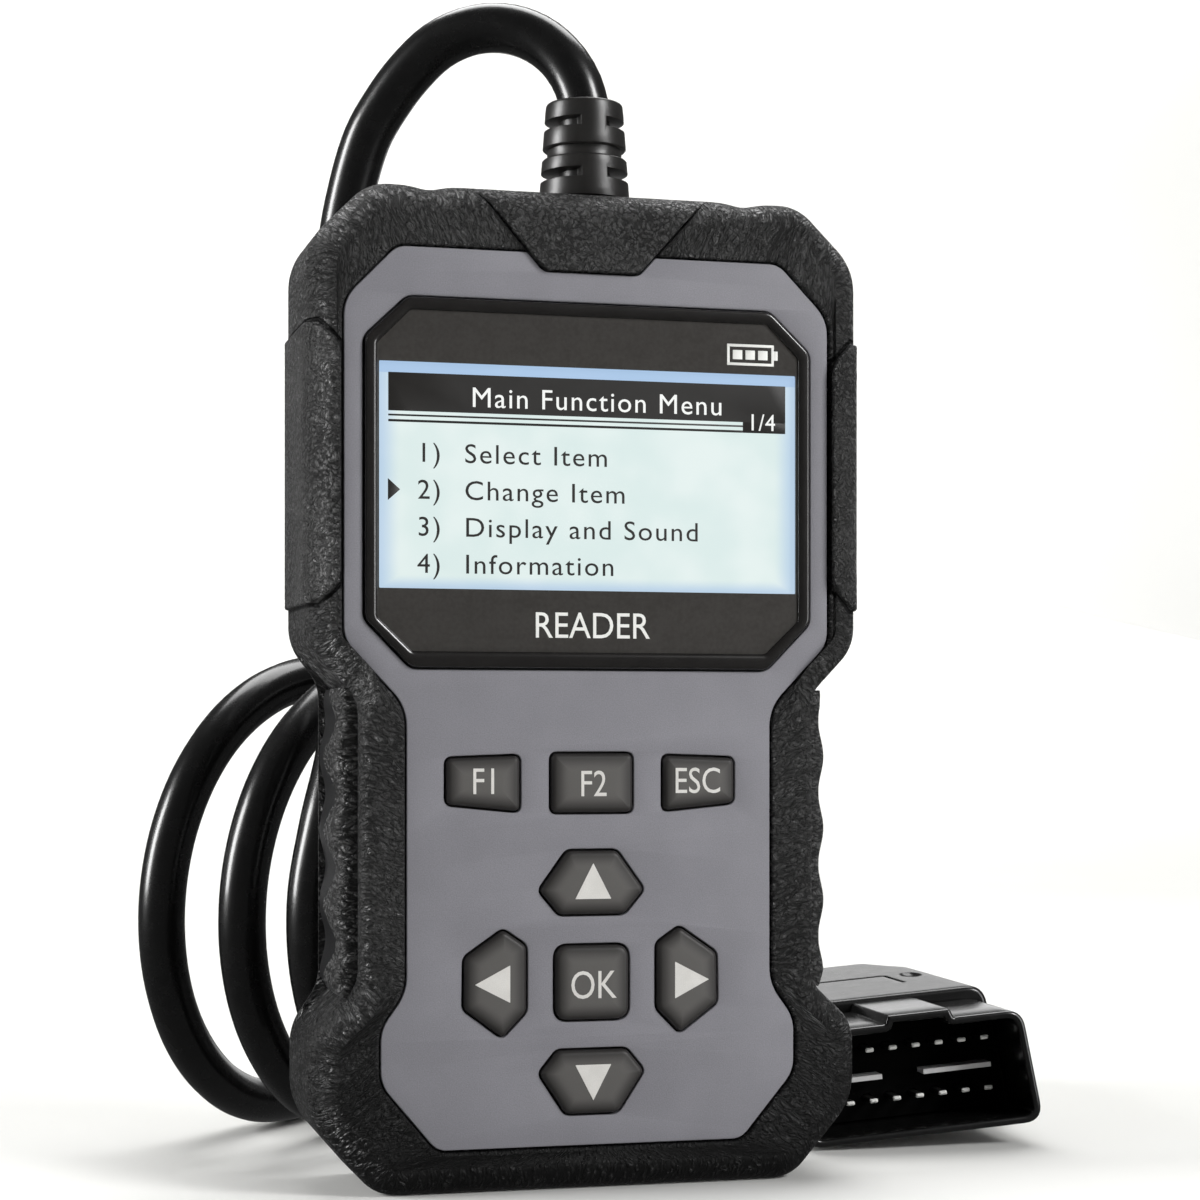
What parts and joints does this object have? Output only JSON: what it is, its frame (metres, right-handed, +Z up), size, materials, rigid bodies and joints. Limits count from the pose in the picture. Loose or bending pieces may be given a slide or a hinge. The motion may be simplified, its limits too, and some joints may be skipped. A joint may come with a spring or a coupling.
{
  "type": "obd code reader",
  "caption": "Handheld vehicle code reader with a screen, arrow and function keys, a rubber boot, and a looped cable ending in an OBD plug.",
  "frame": {"origin": "under the middle of the handheld, on the surface that it stands on", "axes": "+Z up along the handheld towards its cable gland, -Y out of its screen, +X to the right of someone facing the screen"},
  "size_m": [0.1524, 0.1451, 0.1796],
  "materials": {
    "rubber": "fine leather-like grain, matte",
    "soft_touch": "fine grain, satin",
    "faceplate": "fine spark-eroded grain, matte",
    "shell_plastic": "fine grain, satin",
    "black_plastic": "satin",
    "lens": "clear, glossy",
    "lcd": "backlit pale green-white",
    "key_rubber": "smooth, satin",
    "mat_silicone": "smooth, matte",
    "board": "satin solder mask",
    "chip": "moulded, matte",
    "ivory_plastic": "moulded, satin",
    "flex": "satin film",
    "label": "blank satin film",
    "steel": "plated, satin",
    "cable": "smooth, glossy",
    "plug_plastic": "fine satin gloss",
    "plug_insulator": "matte",
    "contact_metal": "tin plated"
  },
  "bodies": {
    "handheld": {"rubber_boot": "rubber", "side_pad_left": "rubber", "side_pad_right": "rubber", "top_chevron_insert": "soft_touch", "finger_grip_left": "soft_touch", "finger_grip_right": "soft_touch", "front_shell": "shell_plastic", "rear_shell": "shell_plastic", "rear_label_plate": "label", "faceplate": "faceplate", "screen_bezel": "black_plastic", "screen_lens": "lens", "screen_surround": "black_plastic", "lcd_panel": "lcd", "keypad_mat": "mat_silicone", "main_board": "board", "processor_chip": "chip", "transceiver_chip": "chip", "buzzer": "chip", "cable_socket": "ivory_plastic", "display_flex": "flex", "housing_screw_1": "steel", "housing_screw_2": "steel", "housing_screw_3": "steel", "housing_screw_4": "steel", "cable_gland": "black_plastic", "cable_from_gland": "cable", "cable_coil": "cable", "cable_to_plug": "cable", "plug_strain_relief": "plug_plastic", "plug_cover_top": "plug_plastic", "plug_cover_bottom": "plug_plastic", "plug_hood": "plug_plastic", "plug_insulator": "plug_insulator", "contact_01": "contact_metal", "contact_02": "contact_metal", "contact_03": "contact_metal", "contact_04": "contact_metal", "contact_05": "contact_metal", "contact_06": "contact_metal", "contact_07": "contact_metal", "contact_08": "contact_metal", "contact_09": "contact_metal", "contact_10": "contact_metal", "contact_11": "contact_metal", "contact_12": "contact_metal", "contact_13": "contact_metal", "contact_14": "contact_metal", "contact_15": "contact_metal", "contact_16": "contact_metal", "plug_screw_1": "steel", "plug_screw_2": "steel"},
    "left_function_key": {"key_function_left": "key_rubber"},
    "middle_function_key": {"key_function_middle": "key_rubber"},
    "right_function_key": {"key_function_right": "key_rubber"},
    "up_key": {"key_up": "key_rubber"},
    "down_key": {"key_down": "key_rubber"},
    "left_key": {"key_left": "key_rubber"},
    "right_key": {"key_right": "key_rubber"},
    "ok_key": {"key_ok": "key_rubber"}
  },
  "joints": [
    {"name": "left_function_key_press", "type": "slide", "parent": "handheld", "child": "left_function_key", "axis": [0, 1, 0], "range_m": [0, 0.0008], "stiffness_N_per_m": 400, "springref_m": -0.001},
    {"name": "middle_function_key_press", "type": "slide", "parent": "handheld", "child": "middle_function_key", "axis": [0, 1, 0], "range_m": [0, 0.0008], "stiffness_N_per_m": 400, "springref_m": -0.001},
    {"name": "right_function_key_press", "type": "slide", "parent": "handheld", "child": "right_function_key", "axis": [0, 1, 0], "range_m": [0, 0.0008], "stiffness_N_per_m": 400, "springref_m": -0.001},
    {"name": "up_key_press", "type": "slide", "parent": "handheld", "child": "up_key", "axis": [0, 1, 0], "range_m": [0, 0.0008], "stiffness_N_per_m": 400, "springref_m": -0.001},
    {"name": "down_key_press", "type": "slide", "parent": "handheld", "child": "down_key", "axis": [0, 1, 0], "range_m": [0, 0.0008], "stiffness_N_per_m": 400, "springref_m": -0.001},
    {"name": "left_key_press", "type": "slide", "parent": "handheld", "child": "left_key", "axis": [0, 1, 0], "range_m": [0, 0.0008], "stiffness_N_per_m": 400, "springref_m": -0.001},
    {"name": "right_key_press", "type": "slide", "parent": "handheld", "child": "right_key", "axis": [0, 1, 0], "range_m": [0, 0.0008], "stiffness_N_per_m": 400, "springref_m": -0.001},
    {"name": "ok_key_press", "type": "slide", "parent": "handheld", "child": "ok_key", "axis": [0, 1, 0], "range_m": [0, 0.0008], "stiffness_N_per_m": 400, "springref_m": -0.001}
  ]
}
